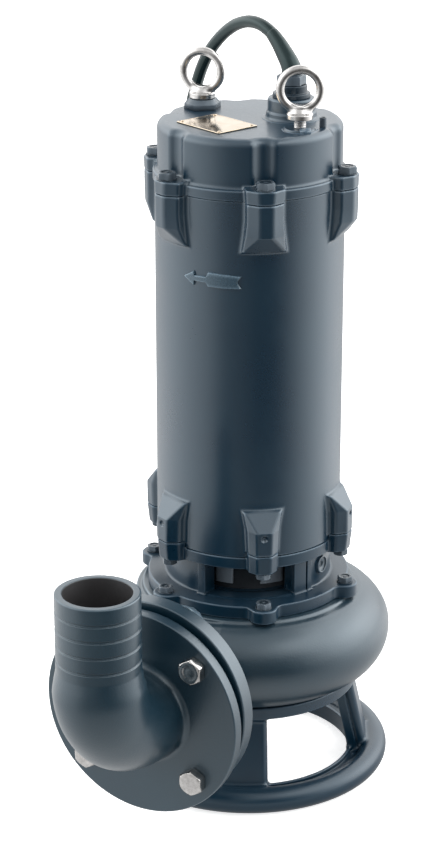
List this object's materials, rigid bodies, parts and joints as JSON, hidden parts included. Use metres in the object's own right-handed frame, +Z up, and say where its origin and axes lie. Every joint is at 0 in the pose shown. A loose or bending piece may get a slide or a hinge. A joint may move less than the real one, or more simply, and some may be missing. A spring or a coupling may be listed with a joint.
{
  "type": "submersible sewage pump",
  "caption": "Submersible sewage pump: upright motor on a spiral casing with ring foot, side flange with an elbow hose tail, lifting eyes and a supply cable.",
  "frame": {"origin": "on the floor, under the middle of the pump and its elbow", "axes": "+Z up along the motor, -Y towards the hose tail, +X to the right seen from the hose tail"},
  "size_m": [0.3381, 0.648, 0.7368],
  "materials": {
    "cast_paint": "dark blue-grey enamel on cast iron",
    "sand_cast_paint": "dark blue-grey enamel on rough sand-cast iron",
    "zinc_steel": "bright zinc-plated steel",
    "painted_bolt": "steel bolt painted with the pump",
    "gasket": "matte rubber",
    "plate_metal": "bare lacquered plate",
    "cable_rubber": "black-green cable sheath",
    "core_insulation": "core insulation"
  },
  "bodies": {
    "root": {"bracket_bolt_1": "painted_bolt", "bracket_bolt_2": "painted_bolt", "bracket_bolt_3": "painted_bolt", "bracket_bolt_4": "painted_bolt", "bracket_bolt_5": "painted_bolt", "bracket_bolt_6": "painted_bolt", "cable": "cable_rubber", "cable_coil": "cable_rubber", "cable_cores": "core_insulation", "cable_sleeve": "cable_rubber", "chamber_bolt_1": "painted_bolt", "chamber_bolt_2": "painted_bolt", "chamber_bolt_3": "painted_bolt", "chamber_bolt_4": "painted_bolt", "chamber_bolt_5": "painted_bolt", "chamber_bolt_6": "painted_bolt", "cover_bolt_1": "painted_bolt", "cover_bolt_2": "painted_bolt", "cover_bolt_3": "painted_bolt", "cover_bolt_4": "painted_bolt", "cover_bolt_5": "painted_bolt", "cover_bolt_6": "painted_bolt", "discharge_elbow": "sand_cast_paint", "earth_screw": "painted_bolt", "eye_bolt_left": "zinc_steel", "eye_bolt_right": "zinc_steel", "flange_bolt_1": "zinc_steel", "flange_bolt_2": "zinc_steel", "flange_bolt_3": "zinc_steel", "flange_bolt_4": "zinc_steel", "flange_gasket": "gasket", "gland_body": "cast_paint", "gland_nut": "cast_paint", "impeller": "cast_paint", "motor_shell": "cast_paint", "nameplate": "plate_metal", "oil_chamber": "cast_paint", "seal_housing": "cast_paint", "suction_stand": "cast_paint", "top_cover": "cast_paint", "volute_casing": "sand_cast_paint"}
  },
  "joints": []
}
